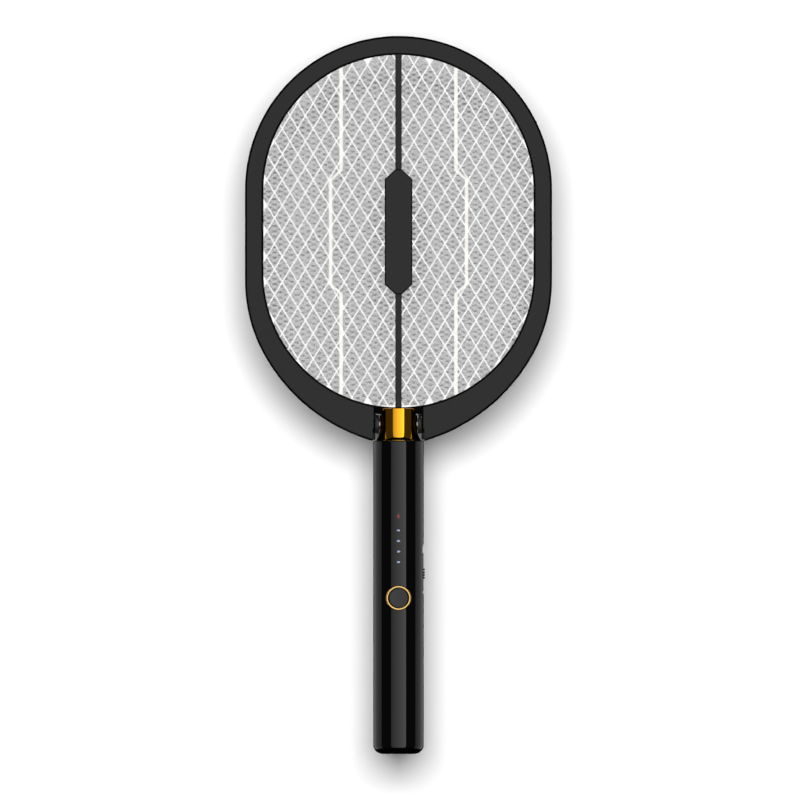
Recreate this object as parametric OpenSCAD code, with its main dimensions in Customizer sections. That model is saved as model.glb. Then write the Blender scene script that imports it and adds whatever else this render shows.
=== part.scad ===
// Electric fly swatter: oval head with three wire grids, folding neck, round
// handle with a push button, a charge gauge and a side slide switch.
// The handle stands on z = 0, the front faces -Y and the head is at the top.

/* [Head] */
// Radius of the head's top and of its lower bowl
head_r = 100.5; // [97:0.5:104]
// Overall height of the swatter
total_h = 470; // [460:1:480]
// Length of the straight sides between the two round ends
side_len = 59.6; // [50:0.2:70]
// Radius of the long curves that run down to the neck
taper_r = 119; // [112:1:125]
// Angle below the bowl's centre at which those curves start
taper_angle = 30.2; // [26:0.2:34]
// Thickness of the head, front to back
head_t = 20; // [18:0.5:22]
// Radius of the ends of the grid opening
open_r = 88.4; // [86:0.2:90]
// Distance between the centres of the opening's round ends
open_len = 54; // [46:1:60]
// Width of the rim's face at the very top
rim_w = 12.4; // [11:0.2:14]

/* [Grids] */
// Width of one diamond of the outer grids
diamond_w = 10.15; // [8:0.05:14]
// Height of one diamond of the outer grids
diamond_h = 16.75; // [12:0.05:20]
// Width of a strand of the outer grids
strand_w = 0.8; // [0.6:0.1:1.4]
// Thickness of the outer grids
grid_t = 0.6; // [0.4:0.1:0.8]
// Air gap between an outer grid and the live inner grid
grid_gap = 6.4; // [5.6:0.1:6.6]

/* [Lamp capsule] */
// Width of the spine that crosses the opening
spine_w = 4.1; // [3:0.1:6]
// Width of the capsule
capsule_w = 18; // [16:0.5:22]
// Length of the capsule's parallel sides
capsule_side = 69; // [60:1:76]
// Length of the capsule with its tapered ends
capsule_len = 82; // [78:1:90]

/* [Neck] */
// Radius of the gold post
post_r = 12.4; // [11.8:0.1:12.8]
// Radius of the post's flared foot
flare_r = 14.7; // [14:0.1:14.7]
// Width of the notch in the head that takes the post
notch_w = 30.12; // [30.1:0.02:31]
// Outer radius of the hinge pin
pin_r = 3; // [2.6:0.1:3.2]

/* [Handle] */
// Outer radius of the handle
handle_r = 16.5; // [16.3:0.1:17.5]
// Length of the handle
handle_h = 205.2; // [204.8:0.2:205.4]
// Thickness of the handle's wall
wall_t = 1.8; // [1.6:0.1:2]
// Height of the push button's centre
button_z = 102.1; // [101.5:0.1:103]
// Radius of the push button's cap
button_r = 6.2; // [5.8:0.1:6.2]
// Travel of the push button
button_travel = 1; // [0.6:0.1:1]
// Travel of the side slide switch
slider_travel = 6; // [4:0.5:6]

/* [Hidden] */
$fn = 96;

eps = 0.01;
black = [0.03, 0.03, 0.03];
charcoal = [0.2, 0.2, 0.2];
gold = [0.92, 0.68, 0.12];
silver = [0.86, 0.86, 0.86];
steel = [0.6, 0.6, 0.62];
ivory = [0.94, 0.93, 0.89];
board_green = [0.05, 0.3, 0.15];
copper = [0.72, 0.42, 0.2];

// Heights in the head
half_t = head_t / 2;
top_z = total_h - head_r;
low_z = top_z - side_len;
open_top_z = total_h - rim_w - open_r;
open_low_z = open_top_z - open_len;
open_floor_z = open_low_z - open_r;
capsule_z = (open_top_z + open_low_z) / 2 - 0.4;

// Rounded edges of the rim, made as two small steps
edge_1 = 0.4;
edge_2 = 1.2;
edge_y1 = 1.2;
edge_y2 = 0.5;

// Walls inside the head
shell_t = 2.2;
lip_w = 3.6;
grid_fit = 0.2;
pocket_wall = 2.3;
live_t = 0.4;
outer_grid_y = grid_gap + live_t / 2 + grid_t;
ear_block_w = 64;
ear_block_z = 234;
rib_w = 2.3;

// Hinge
pivot_z = 216;
ear_round_r = 10.4;
ear_round_x = 17;
bridge_h = 4.3;
bridge_y = 4;
shield_y = 4.4;
shield_top = open_floor_z - 0.5;
collar_top = 211.5;
fold_flat_y = 9.8;
flare_h = 7.8;
knuckle_r = 6;
knuckle_x = 12.4;
pin_len = 44;
pin_bore_r = 1.8;
run_gap = 0.05;
bush_r = 4.4;
bush_flange_r = 6.2;
bush_flange_x = 12.8;
spigot_r = 9;
spigot_z = 194.6;
flange_r = 12;
flange_z = 199.7;
flange_t = 2.8;

// Handle
inner_r = handle_r - wall_t;
floor_t = 2.6;
roof_t = 2.5;
foot_r = 10;
foot_corner_h = 5.8;
plate_r = 9.8;
plate_t = 1.6;
screw_zs = [19, 115, 190.5];
board_y = -5.6;
board_t = 1.6;
cell_r = 9.2;
cell_len = 65;
cell_z = 27.2;
cell_y = 1.5;
ring_in_r = button_r + 0.3;
ring_out_r = ring_in_r + 1.7;
ring_front_y = -16.9;
gauge_zs = [125.6, 132.5, 139.4, 146.3];
bolt_z = 155.5;
slide_low_z = 104.1;
slide_high_z = 137.8;
slide_w = 9.6;
slide_floor_x = 14.6;
slider_z = 106.5;
slider_len = 25;
nub_z = 114.7;
nub_len = 7.1;

// ---------- helpers ----------

// Extrudes a shape drawn in the X-Z plane from y0 to y1
module slab(y0, y1) {
    translate([0, y1, 0])
        rotate([90, 0, 0])
            linear_extrude(y1 - y0)
                children();
}

// Cylinder along Y from y0 to y1
module peg(r, y0, y1) {
    translate([0, y0, 0])
        rotate([-90, 0, 0])
            cylinder(h = y1 - y0, r = r);
}

// Cylinder along X from x0 to x1
module axle(r, x0, x1) {
    translate([x0, 0, 0])
        rotate([0, 90, 0])
            cylinder(h = x1 - x0, r = r);
}

// Straight round rod between two points
module rod(a, b, r) {
    d = b - a;
    translate(a)
        rotate([0, acos(d[2] / norm(d)), atan2(d[1], d[0])])
            cylinder(h = norm(d), r = r, $fn = 24);
}

// Wire along a row of points, with a ball at each bend
module wire(points, r) {
    for (i = [0 : len(points) - 2])
        rod(points[i], points[i + 1], r);
    for (i = [1 : 1 : len(points) - 2])
        translate(points[i])
            sphere(r = r + 0.04, $fn = 24);
}

// Rectangle with round ends, w by h, h being the long way
module pill(w, h) {
    translate([0, (h - w) / 2])
        circle(d = w);
    translate([0, -(h - w) / 2])
        circle(d = w);
    square([w, h - w], center = true);
}

// Mirrors a copy across the Y-Z plane
module both_sides() {
    children();
    mirror([1, 0, 0])
        children();
}

// ---------- head outlines, drawn in the X-Z plane ----------

// Outer outline of the head, drawn in by inset
module head_outline(inset = 0) {
    r = head_r - inset;
    big_r = taper_r - inset;
    split_z = low_z - r * sin(taper_angle);
    back = taper_r - head_r;
    translate([0, top_z])
        circle(r = r, $fn = 180);
    translate([-r, low_z])
        square([2 * r, side_len]);
    intersection() {
        translate([0, low_z])
            circle(r = r, $fn = 180);
        translate([-r, split_z])
            square([2 * r, head_r]);
    }
    intersection() {
        translate([-back * cos(taper_angle), low_z + back * sin(taper_angle)])
            circle(r = big_r, $fn = 180);
        translate([back * cos(taper_angle), low_z + back * sin(taper_angle)])
            circle(r = big_r, $fn = 180);
        translate([-r, 200])
            square([2 * r, split_z - 200 + eps]);
    }
}

// Opening for the grids, made larger by grow
module opening(grow = 0) {
    r = open_r + grow;
    translate([0, open_top_z])
        circle(r = r, $fn = 180);
    translate([0, open_low_z])
        circle(r = r, $fn = 180);
    translate([-r, open_low_z])
        square([2 * r, open_len]);
}

// Strip over the neck notch, where nothing may reach below the opening
module neck_strip(extra) {
    w = notch_w + 2 * extra;
    translate([-w / 2, 200])
        square([w, 50]);
}

// Outline of a grid: it sits under the rim's lip, but stops level with the
// opening above the neck notch
module grid_outline(clearance) {
    difference() {
        opening(lip_w - clearance);
        neck_strip(1 + clearance);
    }
    intersection() {
        opening(-grid_fit);
        neck_strip(1 + clearance + eps);
    }
}

// Seen from the front, the spine and its capsule
module capsule_outline(inset) {
    side = capsule_side / 2;
    tip = capsule_len / 2 - inset;
    w = capsule_w / 2 - inset;
    n = spine_w / 2 - min(inset, 1);
    translate([0, capsule_z])
        polygon([[w, side], [n, tip], [-n, tip], [-w, side],
            [-w, -side], [-n, -tip], [n, -tip], [w, -side]]);
}

module spine_outline() {
    translate([-spine_w / 2, shield_top + 0.1])
        square([spine_w, open_len + 2 * open_r + 2]);
}

// ---------- head shells ----------

// Where the frame screws go
frame_screw_points = concat(
    [for (a = [15, 65, 115, 165]) [96.4 * cos(a), top_z + 96.4 * sin(a)]],
    [for (s = [-1, 1]) [s * 96.4 * cos(12), low_z - 96.4 * sin(12)]],
    [for (s = [-1, 1]) [s * 47, 229]],
    [for (s = [-1, 1]) [s * 27.5, 217]]
);

// Channel in the rim for screws and wires
module channel_outline() {
    difference() {
        head_outline(shell_t);
        opening(lip_w + pocket_wall);
        translate([-ear_block_w / 2, 200])
            square([ear_block_w, ear_block_z - 200]);
    }
}

// The stretch of a terminal, from under a grid's edge into the channel
module terminal_slot(angle, w) {
    translate([0, open_low_z])
        rotate(angle)
            translate([open_r + 0.9, -w / 2])
                square([8, w]);
}

// One half of the rim, occupying y = -half_t to 0
module frame_half() {
    difference() {
        union() {
            slab(-half_t, -half_t + edge_y2) head_outline(edge_2);
            slab(-half_t + edge_y2, -half_t + edge_y1) head_outline(edge_1);
            slab(-half_t + edge_y1, 0) head_outline(0);
        }
        slab(-half_t - 1, 1) opening(0);
        slab(-half_t - 1, -half_t + edge_y2) opening(edge_2);
        slab(-half_t - 1, -half_t + edge_y1) opening(edge_1);
        slab(-outer_grid_y, 1) grid_outline(0);
        slab(-half_t + shell_t, 1) channel_outline();
        slab(-outer_grid_y + 0.4, 1) terminal_slot(-42, 4.4);
        slab(-outer_grid_y + 0.4, 1) terminal_slot(-54, 4.4);
        neck_cuts();
    }
    frame_bosses(-half_t + shell_t - eps, 0);
}

// Notch for the post, rounded ears and the saddle for the hinge pin
module neck_cuts() {
    slab(-half_t - 1, -bridge_y)
        translate([-notch_w / 2, 190])
            square([notch_w, 42]);
    slab(-bridge_y - eps, 1)
        translate([-notch_w / 2, 190])
            square([notch_w, open_floor_z - bridge_h - 190]);
    both_sides()
        difference() {
            translate([notch_w / 2 - 1, -half_t - 1, 195])
                cube([ear_round_x - notch_w / 2 + 1, half_t + 2, pivot_z - 195]);
            translate([0, 0, pivot_z])
                axle(ear_round_r, 0, ear_round_x + 1);
        }
    translate([0, 0, pivot_z])
        axle(pin_r, -pin_len / 2, pin_len / 2);
    both_sides()
        translate([0, 0, pivot_z])
            axle(pin_bore_r, 10, ear_block_w / 2 + 3);
}

module frame_bosses(y0, y1) {
    for (p = frame_screw_points)
        translate([p[0], 0, p[1]])
            peg(2.5, y0, y1);
}

module frame_front() {
    color(charcoal)
        difference() {
            union() {
                frame_half();
                slab(-half_t + 0.4, -outer_grid_y) spine_outline();
                slab(-half_t - 0.6, -outer_grid_y) capsule_outline(0.5);
                slab(-half_t, -outer_grid_y) capsule_outline(0);
            }
            for (p = frame_screw_points)
                translate([p[0], 0, p[1]])
                    peg(1, -6.2, 1);
            slab(-half_t + 0.6, -outer_grid_y + 1) capsule_outline(2);
        }
}

module frame_rear() {
    rear_y = half_t + 2.5;
    color(charcoal)
        difference() {
            union() {
                mirror([0, 1, 0])
                    frame_half();
                slab(outer_grid_y, half_t) spine_outline();
                slab(outer_grid_y, rear_y - 0.6) capsule_outline(0);
                slab(rear_y - 0.7, rear_y) capsule_outline(0.6);
            }
            for (p = frame_screw_points)
                translate([p[0], 0, p[1]]) {
                    peg(1.15, -1, 8);
                    peg(2.3, 7.6, half_t + 1);
                }
            slab(outer_grid_y - 1, rear_y - 1.7) capsule_outline(1.6);
            slab(rear_y - 2, rear_y + 1)
                translate([0, capsule_z])
                    pill(11, 62);
            lamp_channel();
        }
}

// Groove down the rear spine for the lamp's leads
module lamp_channel() {
    slab(outer_grid_y - 0.2, outer_grid_y + 1.3)
        translate([-1, open_floor_z - 3])
            square([2, capsule_z - 36 - open_floor_z + 3]);
}

// ---------- grids and spacers ----------

// All the diamonds of an outer grid
module diamonds() {
    p = diamond_w / 2;
    q = diamond_h / 2;
    k = 1 - strand_w / 2 * norm([p, q]) / (p * q);
    rows = ceil((open_r + open_len / 2) / q);
    cols = ceil(open_r / p);
    for (i = [-cols : cols])
        for (j = [-rows : rows])
            if ((i + j) % 2 == 0 && diamond_shows(i * p, j * q, p))
                translate([i * p, capsule_z + 0.6 + j * q])
                    polygon([[k * p, 0], [0, k * q], [-k * p, 0], [0, -k * q]]);
}

// Whether a diamond centred at x, z reaches into the opening
function diamond_shows(x, z, p) =
    norm([x, max(0, abs(z) - open_len / 2)]) < open_r + p / 2;

module outer_grid_shape() {
    difference() {
        grid_outline(grid_fit);
        intersection() {
            diamonds();
            difference() {
                opening(0.5);
                translate([-notch_w / 2 - 2, 200])
                    square([notch_w + 4, open_floor_z + 1.3 - 200]);
            }
        }
    }
}

module outer_grid_front() {
    color(silver)
        slab(-outer_grid_y, -outer_grid_y + grid_t)
            outer_grid_shape();
}

module outer_grid_rear() {
    color(silver)
        slab(outer_grid_y - grid_t, outer_grid_y)
            outer_grid_shape();
}

// Envelope of the fine expanded grid
module live_grid() {
    color(silver)
        slab(-live_t / 2, live_t / 2)
            grid_outline(grid_fit);
}

// Right rib of a spacer, with a wider middle stretch beside the capsule
rib_in = 37.6;
rib_out = 44.5;
jog_high = capsule_z + 37;
jog_low = capsule_z - 37.5;
jog_h = 6.4;

module rib() {
    a = rib_in - rib_w / 2;
    b = rib_out - rib_w / 2;
    polygon([
        [a, open_floor_z - 2], [a, jog_low - jog_h / 2],
        [b, jog_low + jog_h / 2], [b, jog_high - jog_h / 2],
        [a, jog_high + jog_h / 2], [a, total_h],
        [a + rib_w, total_h], [a + rib_w, jog_high + jog_h / 2],
        [b + rib_w, jog_high - jog_h / 2], [b + rib_w, jog_low + jog_h / 2],
        [a + rib_w, jog_low - jog_h / 2], [a + rib_w, open_floor_z - 2]
    ]);
}

// White insulating hoop with two ribs that keep the grids apart
module spacer_shape() {
    difference() {
        opening(lip_w - grid_fit);
        opening(0.6);
        neck_strip(1 + grid_fit);
        terminal_slot(-42, 4.4);
        terminal_slot(-54, 4.4);
    }
    intersection() {
        both_sides()
            rib();
        opening(lip_w - grid_fit - 1);
    }
}

module spacer_front() {
    color(ivory)
        slab(-outer_grid_y + grid_t, -live_t / 2)
            spacer_shape();
}

module spacer_rear() {
    color(ivory)
        slab(live_t / 2, outer_grid_y - grid_t)
            spacer_shape();
}

// Brass strips that press on the edges of the three grids
module grid_terminals() {
    y_out = outer_grid_y - grid_t;
    color(gold) {
        slab(-y_out, -y_out + 0.4) terminal_slot(-42, 4);
        slab(y_out - 0.4, y_out) terminal_slot(-42, 4);
        slab(live_t / 2, live_t / 2 + 0.4) terminal_slot(-54, 4);
    }
}

// Point in the rim's channel next to a terminal
function terminal_end(angle, y) = [
    (open_r + 7.6) * cos(angle),
    y,
    open_low_z + (open_r + 7.6) * sin(angle)
];

// Insulated leads from the hinge to the terminals
module grid_leads() {
    ear = [ear_block_w / 2 + 2, 0, pivot_z];
    y_out = outer_grid_y - grid_t - 1;
    live = terminal_end(-54, 1.5);
    live_bend = [48, 1.5, 223];
    color("red") {
        wire([ear + [0, 1.5, 0], live_bend, live], 0.55);
        wire([ear + [0, -1.5, 0], [50, -1.5, 226], terminal_end(-42, -1.5)], 0.55);
        rod(terminal_end(-42, -y_out), terminal_end(-42, y_out), 0.55);
    }
}

// ---------- lamp ----------

module lamp_board() {
    color(board_green)
        slab(outer_grid_y + 0.9, outer_grid_y + 1.9)
            translate([0, capsule_z])
                square([12, 64], center = true);
}

module lamp_leds() {
    color([0.55, 0.4, 0.9])
        for (i = [-1.5 : 1 : 1.5])
            translate([0, 0, capsule_z + i * 15])
                slab(outer_grid_y + 1.9, outer_grid_y + 2.9)
                    square([3.5, 2.8], center = true);
}

module lamp_lens() {
    rear_y = half_t + 2.5;
    color([0.7, 0.65, 0.9, 0.5]) {
        slab(rear_y - 1.7, rear_y + 0.2)
            translate([0, capsule_z])
                pill(10.9, 61.9);
        slab(rear_y - 2.2, rear_y - 1.7)
            translate([0, capsule_z])
                pill(13, 64);
    }
}

// Pair of leads from the hinge up the rear spine to the lamp
module lamp_leads() {
    y = outer_grid_y + 0.65;
    color("black")
        for (s = [-0.5, 0.5])
            wire([[s, y, open_floor_z + 0.4], [s, y, capsule_z - 33]], 0.4);
}

module frame_screws() {
    color(steel)
        for (p = frame_screw_points)
            translate([p[0], 0, p[1]])
                difference() {
                    union() {
                        peg(1, -6, 7.6);
                        peg(2.1, 7.6, 9);
                    }
                    translate([-0.25, 8.4, -1.5])
                        cube([0.5, 1, 3]);
                    translate([-1.5, 8.4, -0.25])
                        cube([3, 1, 0.5]);
                }
}

// ---------- neck ----------

module hinge_pin() {
    color(steel)
        translate([0, 0, pivot_z])
            difference() {
                axle(pin_r, -pin_len / 2, pin_len / 2);
                axle(pin_bore_r, -pin_len, pin_len);
            }
}

// Hollow stepped bushes that centre the post between the head's ears and
// close the gaps beside it
module hinge_bushes() {
    color(black)
        both_sides()
            translate([0, 0, pivot_z])
                difference() {
                    union() {
                        axle(bush_r, knuckle_x + 0.15, notch_w / 2 - 0.02);
                        axle(bush_flange_r, bush_flange_x, notch_w / 2 - 0.02);
                    }
                    axle(pin_r, 0, 20);
                }
}

// Profile of the flared foot, widening towards the handle on a smooth curve
flare_profile = concat(
    [[0, handle_h]],
    [for (i = [0 : 10]) [post_r + (flare_r - post_r) * pow(1 - i / 10, 2.2), handle_h + flare_h * i / 10]],
    [[0, handle_h + flare_h]]
);

// Gold post: a round collar, a tall front half that covers the hinge, and a
// knuckle round the pin; it is held by a flange inside the handle, and a flat
// on its back makes room for the folded head
module neck_post() {
    color(gold)
        difference() {
            union() {
                rotate_extrude()
                    polygon(flare_profile);
                translate([0, 0, handle_h])
                    cylinder(r = post_r, h = shield_top - handle_h);
                translate([0, 0, spigot_z])
                    cylinder(r = spigot_r, h = handle_h - spigot_z + eps);
                translate([0, 0, flange_z])
                    cylinder(r = flange_r, h = flange_t);
            }
            difference() {
                translate([-20, -shield_y, collar_top])
                    cube([40, 40, 40]);
                translate([0, 0, pivot_z])
                    axle(knuckle_r, -knuckle_x, knuckle_x);
                translate([-knuckle_x, -shield_y - 1, collar_top - 1])
                    cube([2 * knuckle_x, knuckle_r + shield_y + 1, pivot_z - collar_top + 1]);
            }
            translate([0, 0, pivot_z])
                axle(pin_r + run_gap, -20, 20);
            translate([-20, fold_flat_y, handle_h + 0.01])
                cube([40, 20, 40]);
            translate([0, 0, spigot_z - 1])
                cylinder(r = 3, h = pivot_z - spigot_z - 2);
        }
}

// ---------- handle ----------

// Outer profile of the handle with its rounded lower edge
handle_profile = concat(
    [[0, 0]],
    [for (i = [0 : 12]) [
        foot_r + (handle_r - foot_r) * sin(i * 7.5),
        foot_corner_h * (1 - cos(i * 7.5))
    ]],
    [[handle_r, handle_h - 0.6], [handle_r - 0.6, handle_h], [0, handle_h]]
);

// Closed handle before it is parted into a front and a rear half
module handle_solid() {
    difference() {
        rotate_extrude()
            polygon(handle_profile);
        translate([0, 0, floor_t])
            cylinder(r = 9, h = 3.5);
        translate([0, 0, floor_t + 3.4])
            cylinder(r = inner_r, h = handle_h - roof_t - floor_t - 3.4);
    }
    difference() {
        translate([0, 0, flange_z - 3.1])
            cylinder(r = inner_r + eps, h = 3);
        translate([0, 0, flange_z - 4])
            cylinder(r = spigot_r + 0.02, h = 5);
    }
}

// Everything that is cut through the handle's wall
module handle_cuts() {
    translate([0, 0, flange_z])
        cylinder(r = spigot_r, h = 20);
    translate([0, 0, -1])
        cylinder(r = plate_r, h = plate_t + 1);
    translate([0, 0, -1])
        cylinder(r = 8.4, h = 5);
    translate([slide_floor_x, 0, (slide_low_z + slide_high_z) / 2])
        rotate([0, 90, 0])
            rotate([0, 0, 90])
                linear_extrude(5)
                    pill(slide_w, slide_high_z - slide_low_z);
    translate([8, -1.5, nub_z])
        cube([10, 3, nub_len + slider_travel + 0.6]);
}

// Pad inside the wall that carries the slide
module slide_pad() {
    intersection() {
        translate([12.4, -6.5, slide_low_z - 2.5])
            cube([4, 13, slide_high_z - slide_low_z + 5]);
        translate([0, 0, slide_low_z - 3])
            cylinder(r = handle_r - 1, h = slide_high_z - slide_low_z + 6);
    }
}

module half_space(side) {
    translate([-30, side > 0 ? 0 : -60, -5])
        cube([60, 60, 260]);
}

// Lightning bolt, drawn about its centre
module bolt_mark(grow) {
    k = 1 + grow;
    polygon([for (p = [[0.5, 2.3], [-1.5, -0.3], [-0.2, -0.3], [-0.6, -2.3],
        [1.5, 0.5], [0.2, 0.5]]) k * p]);
}

module handle_front() {
    color(black)
        difference() {
            union() {
                handle_solid();
                slide_pad();
                translate([0, 0, button_z])
                    intersection() {
                        peg(ring_out_r + 1.4, -15.6, -12.2);
                        cylinder(r = handle_r - 0.5, h = 40, center = true);
                    }
                for (z = screw_zs)
                    translate([0, 0, z])
                        peg(2.8, -15.2, 0);
            }
            half_space(1);
            handle_cuts();
            for (z = screw_zs)
                translate([0, 0, z])
                    peg(1.1, -11, 1);
            translate([0, 0, button_z]) {
                peg(ring_out_r, -20, -14);
                peg(ring_in_r + 0.9, -20, -10);
            }
            for (z = gauge_zs)
                translate([0, 0, z])
                    slab(-20, -10)
                        rotate(90)
                            pill(1.3, 2.1);
            translate([0, 0, bolt_z])
                slab(-20, -10)
                    bolt_mark(0);
        }
}

module handle_rear() {
    color(black)
        difference() {
            union() {
                handle_solid();
                slide_pad();
                for (z = screw_zs)
                    translate([0, 0, z])
                        peg(2.8, 0, 15.2);
            }
            half_space(-1);
            handle_cuts();
            for (z = screw_zs)
                translate([0, 0, z]) {
                    peg(1.35, -1, 16);
                    peg(2.6, 12, 20);
                }
        }
}

module handle_screws() {
    color(steel)
        for (z = screw_zs)
            translate([0, 0, z])
                difference() {
                    union() {
                        peg(1.1, -10.5, 12);
                        peg(2.4, 12, 13.6);
                    }
                    translate([-0.3, 12.9, -1.6])
                        cube([0.6, 1, 3.2]);
                    translate([-1.6, 12.9, -0.3])
                        cube([3.2, 1, 0.6]);
                }
}

module end_plate() {
    color(black)
        difference() {
            cylinder(r = plate_r, h = plate_t);
            translate([0, 0, -1])
                linear_extrude(5)
                    rotate(90)
                        pill(3.7, 9.4);
        }
}

module usb_socket() {
    color(steel)
        translate([0, 0, 0.5])
            difference() {
                linear_extrude(7.4)
                    rotate(90)
                        pill(3.2, 8.9);
                translate([0, 0, -1])
                    linear_extrude(7.4)
                        rotate(90)
                            pill(2.6, 8.3);
            }
    color(black)
        translate([-3.3, -0.35, 1])
            cube([6.6, 0.7, 6]);
}

module usb_board() {
    color(board_green)
        translate([-6, 1.62, 3])
            cube([12, 1.2, 12.6]);
}

// ---------- battery ----------

module battery_cell() {
    color([0.1, 0.35, 0.6])
        translate([0, cell_y, cell_z]) {
            cylinder(r = cell_r, h = cell_len - 1.2);
            cylinder(r = 3.2, h = cell_len);
        }
}

// Open cradle with two end walls
module battery_cradle() {
    low = 22;
    high = 93.9;
    color(charcoal)
        difference() {
            translate([0, cell_y, low])
                cylinder(r = cell_r + 1.6, h = high - low);
            translate([0, cell_y, low + 1.2])
                cylinder(r = cell_r + 0.15, h = high - low - 2.4);
            translate([-20, -30 - 2, low - 1])
                cube([40, 30, 90]);
        }
}

// Conical coil at the cell's lower end, as stacked rings
module battery_spring() {
    turns = 4;
    color(steel)
        for (i = [0 : turns - 1])
            translate([0, cell_y + 2.6, 23.2 + 0.5 + i])
                rotate_extrude()
                    translate([4.5 - 0.5 * i, 0])
                        circle(r = 0.5, $fn = 24);
}

module battery_contact() {
    color(gold)
        translate([-4, cell_y - 3, cell_z + cell_len])
            cube([8, 7, 0.4]);
}

// ---------- electronics ----------

module main_board() {
    color(board_green)
        difference() {
            translate([-12.6, board_y, 96])
                cube([25.2, board_t, 90]);
            translate([0, 0, screw_zs[1]])
                peg(3.1, -10, 0);
            translate([11.5, board_y - 1, 101])
                cube([3, 4, 40]);
        }
}

module board_chips() {
    color(black) {
        translate([-9, board_y - 1.4, 118])
            cube([4, 1.4, 5]);
        translate([5, board_y - 1.2, 150])
            cube([5, 1.2, 4]);
        translate([-10, board_y - 1, 160])
            cube([3, 1, 6]);
        translate([4, board_y - 1, 168])
            cube([6, 1, 3]);
    }
}

module hv_transformer() {
    back = board_y + board_t;
    color(charcoal) {
        translate([-7, back, 138])
            cube([14, 11, 3]);
        translate([-7, back, 152])
            cube([14, 11, 3]);
    }
    color(copper)
        translate([-5.5, back + 0.8, 141])
            cube([11, 9.4, 11]);
}

module hv_capacitors() {
    back = board_y + board_t;
    color([0.55, 0.1, 0.1])
        for (i = [0 : 2])
            translate([-9 + 6.2 * i, back, 160])
                cube([5, 7.5, 11]);
}

module hv_diodes() {
    back = board_y + board_t;
    color(black)
        for (i = [0 : 2])
            translate([-8 + 6 * i, back + 1.6, 174])
                cylinder(r = 1.5, h = 6);
}

module tact_switch() {
    color(black) {
        translate([-3, board_y - 2, button_z - 3])
            cube([6, 2, 6]);
        translate([0, 0, button_z])
            peg(1.7, board_y - 3, board_y - 2);
    }
}

module indicator_leds() {
    color("white")
        for (z = concat(gauge_zs, [bolt_z]))
            translate([-0.8, board_y - 0.8, z - 0.8])
                cube([1.6, 0.8, 1.6]);
}

// Clear bar with four lit windows
module charge_light_guide() {
    fit = 0.04;
    low = gauge_zs[0] - 1.8;
    high = gauge_zs[3] + 1.8;
    color([0.75, 0.85, 1, 0.7]) {
        for (z = gauge_zs)
            translate([0, 0, z])
                slab(-handle_r - 0.02, board_y - 1.2)
                    rotate(90)
                        pill(1.3 - 2 * fit, 2.1 - 2 * fit);
        translate([-1.6, -14.1, low])
            cube([3.2, 1.4, high - low]);
    }
}

// Clear red window in the form of a lightning bolt
module shock_light_guide() {
    color([0.85, 0.2, 0.2, 0.8])
        translate([0, 0, bolt_z]) {
            slab(-handle_r - 0.02, -13.9)
                bolt_mark(-0.04);
            slab(-14, board_y - 1.2)
                square([2.4, 2.4], center = true);
        }
}

module mode_switch() {
    color(steel)
        translate([5.5, board_y + board_t, 112])
            cube([5.4, 5, 17]);
}

// Leads of the cell and of the charging socket
module power_wires() {
    color("red")
        for (s = [-1, 1])
            wire([[s * 3, 3.6, 14], [s * 8, 3, 18], [s * 12.4, -3.6, 24],
                [s * 12.4, -3.6, 92], [s * 9, board_y + board_t + 1, 97.5]], 0.6);
}

// High-voltage and lamp leads, up into the neck
module hv_wires() {
    color("white")
        for (s = [-1, 1])
            wire([[s * 6, board_y + board_t + 0.8, 182], [s * 7.5, 0.8, 187],
                [s * 1.4, 0, 195], [s * 1.4, 0, 211.5]], 0.6);
}

// ---------- controls ----------

module button_ring() {
    color(gold)
        translate([0, 0, button_z])
            difference() {
                union() {
                    peg(ring_out_r, ring_front_y + 0.4, -14);
                    peg(ring_out_r - 0.4, ring_front_y, -14);
                    peg(ring_in_r + 0.9, -15, -12.4);
                }
                peg(ring_in_r, -20, -10);
                peg(ring_in_r + 0.4, -20, ring_front_y + 0.4);
            }
}

// Push button with a retaining flange and a stem
module power_button() {
    color(black)
        translate([0, 0, button_z]) {
            peg(button_r - 0.5, -17, -16);
            peg(button_r, -16.7, -11.5);
            peg(ring_in_r + 0.7, -12, -11.2);
            peg(1.5, -11.5, board_y - 3.1 - button_travel);
        }
}

// Slide with a grip nub, and a neck that drives the mode switch
module mode_slider() {
    mid_z = slider_z + slider_len / 2;
    color(black) {
        intersection() {
            translate([slide_floor_x + 0.3, 0, mid_z])
                rotate([0, 90, 0])
                    rotate([0, 0, 90])
                        linear_extrude(4)
                            pill(slide_w - 1, slider_len);
            union() {
                translate([0, 0, slider_z - 1])
                    cylinder(r = handle_r - 0.15, h = slider_len + 2);
                for (i = [0 : 3])
                    translate([0, 0, nub_z + i * 1.9])
                        cylinder(r = handle_r + 0.7, h = 1.4);
                translate([0, 0, nub_z])
                    cylinder(r = handle_r + 0.4, h = nub_len);
            }
        }
        translate([11.4, -1.1, nub_z + 1])
            cube([4, 2.2, nub_len - 2]);
    }
}

frame_front();
frame_rear();
outer_grid_front();
outer_grid_rear();
live_grid();
spacer_front();
spacer_rear();
grid_terminals();
grid_leads();
lamp_board();
lamp_leds();
lamp_lens();
lamp_leads();
frame_screws();
hinge_pin();
neck_post();
hinge_bushes();
handle_front();
handle_rear();
end_plate();
usb_socket();
usb_board();
battery_cradle();
battery_cell();
battery_spring();
battery_contact();
main_board();
board_chips();
hv_transformer();
hv_capacitors();
hv_diodes();
tact_switch();
indicator_leds();
charge_light_guide();
shock_light_guide();
mode_switch();
power_wires();
hv_wires();
handle_screws();
button_ring();
power_button();
mode_slider();
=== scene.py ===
"""Studio scene of a folding electric fly swatter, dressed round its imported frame.

All lengths are in metres and in the frame's own axes: the front faces -Y, +Z runs up
the handle and +X is the side with the slide. MM turns millimetres into metres.
"""
import logging
import math
from contextlib import contextmanager
from dataclasses import dataclass
from enum import Enum
from typing import Callable, Iterator, Sequence

import bmesh
import bpy
from mathutils import Matrix, Vector


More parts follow.
